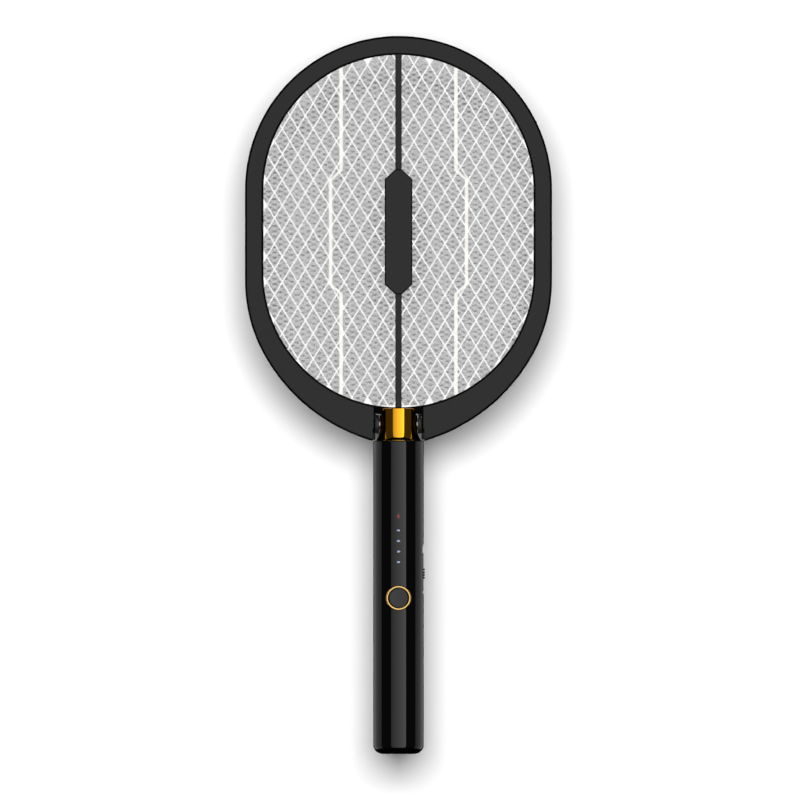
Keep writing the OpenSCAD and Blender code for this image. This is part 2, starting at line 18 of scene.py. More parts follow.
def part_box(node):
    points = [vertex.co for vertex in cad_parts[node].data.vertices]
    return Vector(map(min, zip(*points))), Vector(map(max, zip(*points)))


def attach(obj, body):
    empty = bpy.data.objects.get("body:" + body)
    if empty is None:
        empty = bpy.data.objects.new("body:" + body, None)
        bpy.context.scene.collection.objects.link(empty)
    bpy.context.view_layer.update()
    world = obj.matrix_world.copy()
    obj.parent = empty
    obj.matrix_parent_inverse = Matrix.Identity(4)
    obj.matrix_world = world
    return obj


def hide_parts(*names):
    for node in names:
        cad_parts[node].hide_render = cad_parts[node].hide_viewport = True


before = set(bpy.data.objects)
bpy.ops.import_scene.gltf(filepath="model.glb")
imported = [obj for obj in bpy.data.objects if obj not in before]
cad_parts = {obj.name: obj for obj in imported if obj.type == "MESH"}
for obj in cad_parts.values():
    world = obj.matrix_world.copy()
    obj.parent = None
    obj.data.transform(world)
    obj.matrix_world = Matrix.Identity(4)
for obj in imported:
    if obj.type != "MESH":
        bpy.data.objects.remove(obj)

Piece = bpy.types.Object
Material = bpy.types.Material
Face = bpy.types.MeshPolygon
EdgeTest = Callable[[bmesh.types.BMEdge], bool]
Numbers = Sequence[float]

MM = 0.001
LOG = logging.getLogger("swatter")


# --- bench tools


class Pick(Enum):
    """What an edit-mode selection is made of."""

    VERTS = "VERT"
    EDGES = "EDGE"
    FACES = "FACE"


class Cut(Enum):
    """How one solid works on another."""

    TAKE_AWAY = "DIFFERENCE"
    JOIN = "UNION"
    KEEP_SHARED = "INTERSECT"


def deselect_all() -> None:
    """Returns to object mode with nothing selected."""
    if bpy.context.object and bpy.context.object.mode != "OBJECT":
        bpy.ops.object.mode_set(mode="OBJECT")
    bpy.ops.object.select_all(action="DESELECT")


def take(piece: Piece) -> None:
    """Selects one piece alone and makes it active."""
    deselect_all()
    piece.select_set(True)
    bpy.context.view_layer.objects.active = piece


@contextmanager
def editing(piece: Piece) -> Iterator[None]:
    """Holds a piece in edit mode with all of it selected."""
    take(piece)
    bpy.ops.object.mode_set(mode="EDIT")
    bpy.ops.mesh.select_mode(type=Pick.VERTS.value)
    bpy.ops.mesh.select_all(action="SELECT")
    yield
    bpy.ops.object.mode_set(mode="OBJECT")


def choose(piece: Piece, kind: Pick, test: Callable[..., bool]) -> int:
    """Selects the elements of an edited piece that pass a test, and nothing else.

    Args:
        piece: the piece in edit mode.
        kind: vertices, edges or faces.
        test: takes one bmesh element and says whether it is wanted.

    Returns:
        How many elements were selected.
    """
    bpy.ops.mesh.select_mode(type=kind.value)
    bpy.ops.mesh.select_all(action="DESELECT")
    mesh = bmesh.from_edit_mesh(piece.data)
    rows = {Pick.VERTS: mesh.verts, Pick.EDGES: mesh.edges, Pick.FACES: mesh.faces}[kind]
    wanted = [item for item in rows if test(item)]
    for item in wanted:
        item.select_set(True)
    mesh.select_flush_mode()
    bmesh.update_edit_mesh(piece.data)
    return len(wanted)


def apply_modifier(piece: Piece, kind: str, **settings: object) -> None:
    """Adds a modifier with the given settings and applies it."""
    take(piece)
    modifier = piece.modifiers.new(kind.lower(), kind)
    for name, value in settings.items():
        setattr(modifier, name, value)
    bpy.ops.object.modifier_apply(modifier=modifier.name)


def combine(piece: Piece, tool: Piece, cut: Cut) -> None:
    """Cuts or joins a piece with a tool solid, which is used up."""
    apply_modifier(piece, "BOOLEAN", operation=cut.value, object=tool, solver="EXACT")
    bpy.data.objects.remove(tool)


def bevel_edges(piece: Piece, width: float, segments: int, test: EdgeTest) -> None:
    """Rounds the edges of a piece that pass a test.

    Args:
        piece: the piece to round.
        width: the size of the rounding.
        segments: how many strips it has.
        test: takes one edge and says whether it is rounded.
    """
    with editing(piece):
        if choose(piece, Pick.EDGES, test):
            bpy.ops.mesh.bevel(offset=width, segments=segments, affect="EDGES", clamp_overlap=True)


def is_corner(edge: bmesh.types.BMEdge) -> bool:
    """Whether two faces meet at this edge at more than 50 degrees."""
    return len(edge.link_faces) == 2 and edge.calc_face_angle(0.0) > math.radians(50)


def corner_at(y: float) -> EdgeTest:
    """A test for sharp edges that lie in the plane of that y."""
    return lambda edge: is_corner(edge) and all(abs(v.co.y - y) < 0.02 * MM for v in edge.verts)


def clean(piece: Piece) -> None:
    """Merges doubled points and turns every face outwards."""
    with editing(piece):
        bpy.ops.mesh.remove_doubles(threshold=0.002 * MM)
        bpy.ops.mesh.normals_make_consistent(inside=False)


def smooth(piece: Piece, degrees: float = 35) -> None:
    """Shades a piece smooth up to an angle, with broad faces kept flat."""
    take(piece)
    bpy.ops.object.shade_smooth_by_angle(angle=math.radians(degrees), keep_sharp_edges=True)
    apply_modifier(piece, "WEIGHTED_NORMAL", keep_sharp=True, weight=80, mode="FACE_AREA")


def round_normals(
    piece: Piece,
    normal_at: Callable[[Vector], Vector],
    on_skin: Callable[[Vector], bool],
) -> None:
    """Gives the true normals of a turned surface to the faces that lie on it.

    Args:
        piece: the piece to shade.
        normal_at: the true outward normal at a point of the surface.
        on_skin: whether a point lies on the surface.
    """
    mesh = piece.data
    normals = [tuple(n.vector) for n in mesh.corner_normals]
    for face in mesh.polygons:
        points = [mesh.vertices[i].co for i in face.vertices]
        if not all(on_skin(p) for p in points):
            continue
        if face.normal.dot(normal_at(face.center)) < 0.7:
            continue
        for corner in face.loop_indices:
            point = mesh.vertices[mesh.loops[corner].vertex_index].co
            normals[corner] = tuple(normal_at(point))
    mesh.normals_split_custom_set(normals)


class Pen:
    """Draws a chain of edges in the X-Z plane from one point, by extruding and spinning it."""

    def __init__(self, name: str, x: float, z: float) -> None:
        """Sets the pen down at a point of the plane y = 0."""
        deselect_all()
        bpy.ops.mesh.primitive_plane_add(size=MM)
        self.piece = bpy.context.object
        self.piece.name = name
        bpy.ops.object.mode_set(mode="EDIT")
        bpy.ops.mesh.select_mode(type=Pick.VERTS.value)
        bpy.ops.mesh.select_all(action="SELECT")
        bpy.ops.mesh.merge(type="CENTER")
        bpy.ops.transform.translate(value=(x, 0, z))
        self.x, self.z = x, z

    def line_to(self, x: float, z: float) -> "Pen":
        """Draws a straight line to a point."""
        step = (x - self.x, 0, z - self.z)
        bpy.ops.mesh.extrude_region_move(TRANSFORM_OT_translate={"value": step})
        self.x, self.z = x, z
        return self

    def arc(self, centre_x: float, centre_z: float, degrees: float, steps: int) -> "Pen":
        """Draws an arc about a centre, clockwise seen from the front where degrees > 0."""
        bpy.ops.mesh.spin(
            steps=steps,
            angle=math.radians(degrees),
            center=(centre_x, 0, centre_z),
            axis=(0, -1, 0),
        )
        turn = math.radians(degrees)
        dx, dz = self.x - centre_x, self.z - centre_z
        self.x = centre_x + dx * math.cos(turn) + dz * math.sin(turn)
        self.z = centre_z + dz * math.cos(turn) - dx * math.sin(turn)
        return self

    def plate(self, y0: float, y1: float) -> Piece:
        """Closes the chain and makes it a plate.

        Args:
            y0: its front.
            y1: its back.

        Returns:
            The finished plate.
        """
        bpy.ops.mesh.select_all(action="SELECT")
        bpy.ops.mesh.remove_doubles(threshold=0.01 * MM)
        bpy.ops.mesh.edge_face_add()
        bpy.ops.transform.translate(value=(0, y0, 0))
        bpy.ops.mesh.extrude_region_move(TRANSFORM_OT_translate={"value": (0, y1 - y0, 0)})
        bpy.ops.mesh.select_all(action="SELECT")
        bpy.ops.mesh.normals_make_consistent(inside=False)
        bpy.ops.object.mode_set(mode="OBJECT")
        return self.piece


def block(name: str, low: Numbers, high: Numbers) -> Piece:
    """A plain tool block between two corners, for cutting and joining."""
    deselect_all()
    bpy.ops.mesh.primitive_cube_add(size=1)
    piece = bpy.context.object
    piece.name = name
    with editing(piece):
        bpy.ops.transform.resize(value=[b - a for a, b in zip(low, high)])
        bpy.ops.transform.translate(value=[(a + b) / 2 for a, b in zip(low, high)])
    return piece


def bar(name: str, radius: float, start: Numbers, end: Numbers) -> Piece:
    """A round tool bar between two points, its place in its mesh."""
    a, b = Vector(start), Vector(end)
    deselect_all()
    bpy.ops.mesh.primitive_cylinder_add(vertices=64, radius=radius, depth=(b - a).length)
    piece = bpy.context.object
    piece.name = name
    piece.data.transform((b - a).to_track_quat("Z", "Y").to_matrix().to_4x4())
    with editing(piece):
        bpy.ops.transform.translate(value=(a + b) / 2)
    return piece


def axle(name: str, radius: float, x0: float, x1: float, z: float) -> Piece:
    """A round tool bar along X, at a height."""
    return bar(name, radius, (x0, 0, z), (x1, 0, z))


def drill(piece: Piece, radius: float, place: tuple[float, float], y0: float, y1: float) -> None:
    """Sinks a round hole along Y at (x, z), from y0 to y1."""
    x, z = place
    combine(piece, bar("seat", radius, (x, y0, z), (x, y1, z)), Cut.TAKE_AWAY)


def pill_plate(
    name: str, width: float, height: float, middle: Numbers, y0: float, y1: float
) -> Piece:
    """A plate with round ends, its long way up, centred on (x, z)."""
    x, z = middle
    r = width / 2
    straight = height / 2 - r
    pen = Pen(name, x - r, z - straight)
    pen.line_to(x - r, z + straight).arc(x, z + straight, 180, 24)
    pen.line_to(x + r, z - straight).arc(x, z - straight, 180, 24)
    return pen.plate(y0, y1)


def turned(
    name: str,
    profile: Sequence[tuple[float, float]],
    steps: int,
    degrees: float = 360,
    start: float = 0,
) -> Piece:
    """Spins a profile of (radius, height) points about the Z axis.

    Args:
        name: the piece's name.
        profile: its points, from the bottom up.
        steps: how many flats the turn has.
        degrees: how far round it goes.
        start: the bearing at which it starts, from +X.

    Returns:
        The turned surface, with its faces outwards.
    """
    pen = Pen(name, *profile[0])
    for radius, height in profile[1:]:
        pen.line_to(radius, height)
    bpy.ops.mesh.select_all(action="SELECT")
    if start:
        bpy.ops.mesh.spin(steps=1, angle=math.radians(start), center=(0, 0, 0), axis=(0, 0, 1))
        mesh = bmesh.from_edit_mesh(pen.piece.data)
        stale = [v for v in mesh.verts if not v.select]
        bmesh.ops.delete(mesh, geom=stale, context="VERTS")
        bmesh.update_edit_mesh(pen.piece.data)
        bpy.ops.mesh.select_all(action="SELECT")
    bpy.ops.mesh.spin(steps=steps, angle=math.radians(degrees), center=(0, 0, 0), axis=(0, 0, 1))
    bpy.ops.mesh.select_all(action="SELECT")
    bpy.ops.mesh.remove_doubles(threshold=0.002 * MM)
    bpy.ops.mesh.normals_make_consistent(inside=False)
    bpy.ops.object.mode_set(mode="OBJECT")
    return pen.piece


# --- shader writing


@dataclass(frozen=True)
class Signal:
    """A number that varies over a surface; arithmetic on it adds Math nodes."""

    tree: "Shader"
    socket: bpy.types.NodeSocket

    def _math(self, operation: str, left: object, right: object) -> "Signal":
        """Adds one Math node."""
        return self.tree.node("ShaderNodeMath", {"operation": operation}, {0: left, 1: right})

    def __add__(self, other: object) -> "Signal":
        """Sum."""
        return self._math("ADD", self, other)

    def __radd__(self, other: object) -> "Signal":
        """Sum, reflected."""
        return self._math("ADD", other, self)

    def __mul__(self, other: object) -> "Signal":
        """Product."""
        return self._math("MULTIPLY", self, other)

    def __pow__(self, other: object) -> "Signal":
        """Power."""
        return self._math("POWER", self, other)


class Shader:
    """A material's node tree, with its Principled shader."""

    def __init__(self, name: str) -> None:
        """Starts a material with an empty Principled shader."""
        self.material = bpy.data.materials.new(name)
        self.material.use_nodes = True
        self.nodes = self.material.node_tree.nodes
        self.links = self.material.node_tree.links
        self.principled = self.nodes["Principled BSDF"]

    def node(
        self,
        kind: str,
        settings: dict[str, object],
        inputs: dict[object, object],
        output: object = 0,
    ) -> Signal:
        """Adds a node.

        Args:
            kind: the node's type.
            settings: its own settings, which are set first.
            inputs: values or signals for its sockets, by name or number.
            output: the socket that is handed back.

        Returns:
            That output.
        """
        made = self.nodes.new(kind)
        for name, value in settings.items():
            setattr(made, name, value)
        for key, value in inputs.items():
            self.feed(made.inputs[key], value)
        return Signal(self, made.outputs[output])

    def feed(self, socket: bpy.types.NodeSocket, value: object) -> None:
        """Links a signal to a socket, or sets the socket's value."""
        if isinstance(value, Signal):
            self.links.new(value.socket, socket)
        else:
            socket.default_value = value

    def set(self, **inputs: object) -> None:
        """Sets the Principled shader's sockets, with _ for a space in their names."""
        for name, value in inputs.items():
            self.feed(self.principled.inputs[name.replace("_", " ")], value)

    def place(self) -> Signal:
        """The piece's own coordinates, in metres."""
        return self.node("ShaderNodeTexCoord", {}, {}, "Object")

    def noise(self, size: float, detail: float = 3, stretch: Numbers = (1, 1, 1)) -> Signal:
        """Noise whose features are about that many metres across."""
        spread = self.node(
            "ShaderNodeMapping", {}, {"Vector": self.place(), "Scale": tuple(stretch)}
        )
        return self.node(
            "ShaderNodeTexNoise", {}, {"Vector": spread, "Scale": 1 / size, "Detail": detail}
        )

    def mix(self, amount: object, low: Numbers, high: Numbers) -> Signal:
        """A colour between two colours."""
        return self.node(
            "ShaderNodeMix",
            {"data_type": "RGBA"},
            {0: amount, 6: (*low, 1), 7: (*high, 1)},
            2,
        )

    def bump(self, height: Signal, depth: float, strength: float = 1) -> Signal:
        """A bumped normal from a height signal, depth in metres."""
        return self.node(
            "ShaderNodeBump", {}, {"Height": height, "Distance": depth, "Strength": strength}
        )


def grey(level: float) -> tuple[float, float, float]:
    """A neutral colour."""
    return (level, level, level)


def scaled(colour: Numbers, factor: float) -> list[float]:
    """A colour made darker or lighter."""
    return [part * factor for part in colour]


@dataclass(frozen=True)
class MouldedPlastic:
    """Plastic with a fine spark-eroded grain and faintly uneven sheen."""

    name: str
    colour: tuple[float, float, float]
    roughness: float = 0.5
    grain: float = 0.35 * MM
    depth: float = 0.012 * MM
    ior: float = 1.45
    mottle: float = 0.12

    def material(self) -> Material:
        """Builds the material."""
        tree = Shader(self.name)
        cloud = tree.noise(9 * MM, 2)
        grain = tree.noise(self.grain, 2)
        low, high = scaled(self.colour, 1 - self.mottle), scaled(self.colour, 1 + self.mottle)
        tree.set(
            Base_Color=tree.mix(cloud * 0.6 + grain * 0.4, low, high),
            Roughness=self.roughness - 0.06 + cloud * 0.12,
            Normal=tree.bump(grain, self.depth),
            IOR=self.ior,
        )
        return tree.material


@dataclass(frozen=True)
class PolishedPlastic:
    """Gloss plastic: a deep smooth surface with faint handling marks."""

    name: str
    colour: tuple[float, float, float]
    roughness: float = 0.045
    marks: float = 0.05

    def material(self) -> Material:
        """Builds the material."""
        tree = Shader(self.name)
        smear = tree.noise(22 * MM, 3, (1, 1, 0.35))
        flow = tree.noise(60 * MM, 1)
        tree.set(
            Base_Color=tree.mix(smear, scaled(self.colour, 0.85), scaled(self.colour, 1.15)),
            Roughness=self.roughness + smear ** 3 * self.marks,
            Normal=tree.bump(flow, 0.05 * MM, 0.2),
            IOR=1.5,
        )
        return tree.material


@dataclass(frozen=True)
class Plate:
    """Bright metal: plated, drawn or turned, with fine lines along one way."""

    name: str
    colour: tuple[float, float, float]
    dark: tuple[float, float, float]
    roughness: float = 0.12
    lines: tuple[float, float, float] = (1, 1, 1)
    line_size: float = 1.5 * MM
    depth: float = 0.002 * MM
    metallic: float = 1.0

    def material(self) -> Material:
        """Builds the material."""
        tree = Shader(self.name)
        tone = tree.noise(6 * MM, 2)
        line = tree.noise(self.line_size, 3, self.lines)
        tree.set(
            Base_Color=tree.mix(tone * 0.5 + line * 0.5, self.dark, self.colour),
            Roughness=self.roughness * 0.8 + line * self.roughness * 0.4,
            Normal=tree.bump(line, self.depth, 0.5),
            Metallic=self.metallic,
        )
        return tree.material


@dataclass(frozen=True)
class ClearWindow:
    """Tinted clear plastic with a soft inner haze."""

    name: str
    colour: tuple[float, float, float]
    clear: float = 0.6
    glow: float = 0.0
    roughness: float = 0.12

    def material(self) -> Material:
        """Builds the material."""
        tree = Shader(self.name)
        haze = tree.noise(1.6 * MM, 2)
        tree.set(
            Base_Color=tree.mix(haze, scaled(self.colour, 0.8), self.colour),
            Roughness=self.roughness + haze * 0.05,
            Transmission_Weight=self.clear,
            Emission_Color=(*self.colour, 1),
            Emission_Strength=self.glow,
            IOR=1.46,
        )
        return tree.material


@dataclass(frozen=True)
class SolderMask:
    """Printed board: green lacquer over a faint pattern of tracks."""

    name: str

    def material(self) -> Material:
        """Builds the material."""
        tree = Shader(self.name)
        tracks = tree.node(
            "ShaderNodeTexBrick",
            {"offset": 0.5},
            {"Vector": tree.place(), "Scale": 260.0, "Mortar Size": 0.04},
            "Fac",
        )
        tree.set(
            Base_Color=tree.mix(tracks, (0.02, 0.13, 0.05), (0.05, 0.26, 0.1)),
            Roughness=0.3 + tracks * 0.1,
            Normal=tree.bump(tracks, 0.03 * MM),
        )
        return tree.material


HEAD_PLASTIC = MouldedPlastic("charcoal head plastic", grey(0.021), 0.62, ior=1.25)
# Near-black plastic as painted shade: it darkens the rim's rounded edges where they turn from the
# light, and the recessed bridge in the notch.
EDGE_SHADE_PLASTIC = MouldedPlastic("painted edge shade", grey(0.0015), 0.7, ior=1.08)
IVORY_PLASTIC = MouldedPlastic("ivory spacer plastic", (0.86, 0.84, 0.79), 0.5, mottle=0.04)
BUSH_PLASTIC = MouldedPlastic("black bush plastic", grey(0.012), 0.45)
SLIDE_PLASTIC = MouldedPlastic("black slide plastic", grey(0.006), 0.5, ior=1.3)
GLOSS_BLACK = PolishedPlastic("piano black", grey(0.0007))
BUTTON_BLACK = MouldedPlastic("button black", grey(0.012), 0.28, grain=0.5 * MM, depth=0.02 * MM)
CELL_WRAP = PolishedPlastic("blue cell sleeve", (0.02, 0.09, 0.3), 0.2)
CAPACITOR_RED = PolishedPlastic("red capacitor dip", (0.38, 0.04, 0.02), 0.18)
LEAD_RED = PolishedPlastic("red lead", (0.4, 0.02, 0.02), 0.35)
LEAD_BLACK = PolishedPlastic("black lead", grey(0.01), 0.35)
LEAD_WHITE = PolishedPlastic("white lead", grey(0.7), 0.35)
GOLD = Plate("gold plate", (1.0, 0.5, 0.03), (0.98, 0.44, 0.015), 0.06, (30, 30, 1), 1.2 * MM)
RING_GOLD = Plate("ring gold", (1.0, 0.68, 0.25), (0.95, 0.55, 0.14), 0.1)
GRID_WIRE = Plate(
    "bright grid wire", grey(0.97), grey(0.9), 0.35, (1, 1, 1), 0.7 * MM, 0.01 * MM, 0.1
)
FINE_WIRE = Plate("fine grid wire", grey(0.56), grey(0.4), 0.4, (1, 1, 1), 0.5 * MM, 0.01 * MM, 0.1)
STEEL = Plate("zinc plated steel", grey(0.6), grey(0.45), 0.28, (1, 1, 1), 0.4 * MM, 0.005 * MM)
BRASS = Plate("pressed brass", (0.85, 0.6, 0.25), (0.7, 0.45, 0.16), 0.3)
COPPER = Plate("copper winding", (0.75, 0.36, 0.16), (0.5, 0.2, 0.08), 0.35, (1, 1, 30), 0.6 * MM)
LAMP_WINDOW = ClearWindow("violet lamp window", (0.72, 0.68, 0.92), 0.75)
GAUGE_WINDOW = ClearWindow("gauge window", (0.33, 0.4, 0.56), 0.0, 0.06)
BOLT_WINDOW = ClearWindow("bolt window", (0.24, 0.03, 0.04), 0.0, 0.06)
LED_BODY = ClearWindow("clear diode", (0.6, 0.55, 0.8), 0.3)
BOARD = SolderMask("green board")


def dress(piece: Piece, material: Material) -> None:
    """Gives a piece one material."""
    piece.data.materials.clear()
    piece.data.materials.append(material)


def give_painted_shade(piece: Piece, material: Material, test: Callable[[Face], bool]) -> None:
    """Gives a second material, here the painted shade, to the faces of a piece that pass a test."""
    piece.data.materials.append(material)
    for face in piece.data.polygons:
        if test(face):
            face.material_index = 1


def hand_over(
    piece: Piece,
    body: str,
    material: Material,
    replaces: Sequence[str] = (),
) -> Piece:
    """Finishes a new piece: its body, its finish and the frame nodes it stands for.

    Args:
        piece: the piece, its place in its mesh.
        body: the frame's body it moves with.
        material: its finish.
        replaces: the nodes it stands for.

    Returns:
        The same piece.
    """
    dress(piece, material)
    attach(piece, body)
    if replaces:
        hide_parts(*replaces)
    LOG.info("%s: %d faces, on %s", piece.name, len(piece.data.polygons), body)
    return piece


# --- head


@dataclass
class Outline:
    """The head's outline and its opening, seen from the front."""

    head_r: float = 100.5 * MM
    side: float = 59.6 * MM
    taper_r: float = 119 * MM
    taper_deg: float = 30.2
    open_r: float = 88.4 * MM
    open_len: float = 54 * MM
    rim_w: float = 12.4 * MM
    notch: float = 15.06 * MM
    lip: float = 3.4 * MM

    def __post_init__(self) -> None:
        """Works out the heights from the top of the frame."""
        self.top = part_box("frame_front")[1].z
        self.high_z = self.top - self.head_r
        self.low_z = self.high_z - self.side
        self.open_high = self.top - self.rim_w - self.open_r
        self.open_low = self.open_high - self.open_len
        self.open_floor = self.open_low - self.open_r

    def blank(self, name: str, y0: float, y1: float) -> Piece:
        """The head's full plate, with the notch for the neck but no opening."""
        back = self.taper_r - self.head_r
        turn = math.radians(self.taper_deg)
        cx, cz = back * math.cos(turn), self.low_z + back * math.sin(turn)
        end = math.degrees(math.acos((self.notch + cx) / self.taper_r))
        notch_top = self.open_floor + 4 * MM
        pen = Pen(name, 0, self.top)
        pen.arc(0, self.high_z, 90, 48).line_to(self.head_r, self.low_z)
        pen.arc(0, self.low_z, self.taper_deg, 16)
        pen.arc(-cx, cz, end - self.taper_deg, 28)
        pen.line_to(self.notch, notch_top).line_to(-self.notch, notch_top)
        pen.line_to(-self.notch, cz - self.taper_r * math.sin(math.radians(end)))
        pen.arc(cx, cz, end - self.taper_deg, 28)
        pen.arc(0, self.low_z, self.taper_deg, 16)
        pen.line_to(-self.head_r, self.high_z).arc(0, self.high_z, 90, 48)
        return pen.plate(y0, y1)

    def opening(self, name: str, grow: float, y0: float, y1: float) -> Piece:
        """A plate as large as the opening, grown by grow."""
        r = self.open_r + grow
        pen = Pen(name, -r, self.open_low)
        pen.line_to(-r, self.open_high).arc(0, self.open_high, 180, 96)
        pen.line_to(r, self.open_low).arc(0, self.open_low, 180, 96)
        return pen.plate(y0, y1)

    def inside(self, x: float, z: float, grow: float) -> bool:
        """Whether a point of the front view is in the opening, grown by grow."""
        dz = max(z - self.open_high, self.open_low - z, 0)
        return math.hypot(x, dz) < self.open_r + grow


@dataclass
class FrameShell:
    """One half of the head's rim, with its spine and capsule."""

    outline: Outline
    rear: bool
    depth: float = 10 * MM
    edge: float = 1.3 * MM
    seam: float = 0.22 * MM
    bridge_h: float = 4.3 * MM
    bridge_t: float = 4 * MM
    pivot_z: float = 216 * MM
    ear_r: float = 10.4 * MM
    ear_x: float = 17 * MM
    spine_w: float = 4.1 * MM
    capsule_w: float = 18 * MM
    capsule_side: float = 69 * MM
    capsule_len: float = 82 * MM
    screw_r: float = 2.3 * MM
    screw_floor: float = 7.6 * MM

    def __post_init__(self) -> None:
        """Works out the depths from the frame, all counted forwards from the seam."""
        low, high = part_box("frame_rear" if self.rear else "frame_front")
        self.proud = high.y if self.rear else -low.y
        self.grid_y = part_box("outer_grid_rear")[1].y
        self.capsule_z = (self.outline.open_high + self.outline.open_low) / 2 - 0.4 * MM

    def gets_painted_shade(self, face: Face) -> bool:
        """Whether a face belongs to the rounded edges, the notch or the bridge, the faces that get
        painted shade.
        """
        deep = abs(face.center.y)
        sloped = 0.02 < abs(face.normal.y) < 0.995
        level = self.depth if deep <= self.depth else self.proud
        if sloped and level - self.edge - 0.01 * MM < deep:
            return True
        in_notch = abs(face.center.x) < self.outline.notch + 0.02 * MM
        return in_notch and face.center.z < self.outline.open_floor + MM and deep < 9.9 * MM

    def build(self, material: Material, edge_shade_material: Material) -> Piece:
        """Models the shell facing forwards, then turns a rear shell about."""
        name = "head_frame_rear" if self.rear else "head_frame_front"
        shell = self.rim(name)
        self.trim_neck(shell)
        combine(shell, self.spine(), Cut.JOIN)
        combine(shell, self.capsule(), Cut.JOIN)
        if self.rear:
            self.open_lamp(shell)
            self.sink_screws(shell)
            with editing(shell):
                bpy.ops.transform.resize(value=(1, -1, 1), center_override=(0, 0, 0))
                bpy.ops.mesh.flip_normals()
        clean(shell)
        smooth(shell)
        node = "frame_rear" if self.rear else "frame_front"
        hand_over(shell, "head", material, [node])
        # Painted shade: the rounded edges, the notch and the bridge get near-black plastic.
        give_painted_shade(shell, edge_shade_material, self.gets_painted_shade)
        return shell

    def rim(self, name: str) -> Piece:
        """The rim itself: rounded front edges, a pocket for the grids and a fine seam."""
        shape = self.outline
        rim = shape.blank(name, -self.depth, 0)
        combine(rim, shape.opening("hole", 0, -self.depth - MM, MM), Cut.TAKE_AWAY)
        combine(rim, shape.opening("pocket", shape.lip, -self.grid_y, MM), Cut.TAKE_AWAY)
        bevel_edges(rim, self.edge, 5, corner_at(-self.depth))
        bevel_edges(rim, self.seam, 1, corner_at(0))
        return rim

    def trim_neck(self, rim: Piece) -> None:
        """Adds the bridge over the neck and rounds the ears about the hinge."""
        floor = self.outline.open_floor
        half = self.outline.notch
        bridge = block(
            "bridge",
            (-half - 4 * MM, -self.bridge_t, floor - self.bridge_h),
            (half + 4 * MM, 0, floor + 3 * MM),
        )
        combine(bridge, self.outline.opening("sag", 0, -MM * 20, MM * 20), Cut.TAKE_AWAY)
        bevel_edges(bridge, 0.5 * MM, 3, corner_at(-self.bridge_t))
        combine(rim, bridge, Cut.JOIN)
        for side in (-1, 1):
            xs = sorted((side * (half - MM), side * self.ear_x))
            corner = block(
                "ear", (xs[0], -20 * MM, self.pivot_z - 20 * MM), (xs[1], 20 * MM, self.pivot_z)
            )
            keep = axle("keep", self.ear_r, xs[0] - MM, xs[1] + MM, self.pivot_z)
            combine(corner, keep, Cut.TAKE_AWAY)
            combine(rim, corner, Cut.TAKE_AWAY)

    def spine(self) -> Piece:
        """The bar that crosses the opening from top to bottom."""
        shape = self.outline
        half = self.spine_w / 2
        spine = block(
            "spine",
            (-half, -self.depth + 0.4 * MM, shape.open_floor - 0.4 * MM),
            (half, -self.grid_y, shape.top - 4 * MM),
        )
        bevel_edges(spine, 0.5 * MM, 3, corner_at(-self.depth + 0.4 * MM))
        return spine

    def capsule(self) -> Piece:
        """The long eight-cornered lamp capsule."""
        w, n = self.capsule_w / 2, self.spine_w / 2
        side, tip = self.capsule_side / 2, self.capsule_len / 2
        z = self.capsule_z
        pen = Pen("capsule", n, z + tip)
        corners = [(w, side), (w, -side), (n, -tip), (-n, -tip), (-w, -side), (-w, side), (-n, tip)]
        for x, dz in corners:
            pen.line_to(x, z + dz)
        capsule = pen.plate(-self.proud, -self.grid_y)
        bevel_edges(capsule, 0.7 * MM, 4, corner_at(-self.proud))
        return capsule

    def open_lamp(self, shell: Piece) -> None:
        """Cuts the lamp's window and the space behind it."""
        steps = [
            (11 * MM, 62 * MM, -self.proud - MM, -self.grid_y - MM),
            (14 * MM, 68 * MM, -self.proud + 1.7 * MM, -self.grid_y + MM),
        ]
        for width, height, y0, y1 in steps:
            hole = pill_plate("window", width, height, (0, self.capsule_z), y0, y1)
            combine(shell, hole, Cut.TAKE_AWAY)

    def sink_screws(self, shell: Piece) -> None:
        """Sinks a round seat for each frame screw."""
        for place in screw_places():
            drill(shell, self.screw_r, place, -self.screw_floor, -12 * MM)


def screw_places() -> list[tuple[float, float]]:
    """Where the frame screws stand in the front view, read from the frame."""
    heads: list[list[Vector]] = []
    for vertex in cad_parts["frame_screws"].data.vertices:
        for group in heads:
            if (group[0].xz - vertex.co.xz).length < 6 * MM:
                group.append(vertex.co.copy())
                break
        else:
            heads.append([vertex.co.copy()])
    places = []
    for group in heads:
        xs, zs = [p.x for p in group], [p.z for p in group]
        places.append(((min(xs) + max(xs)) / 2, (min(zs) + max(zs)) / 2))
    return places


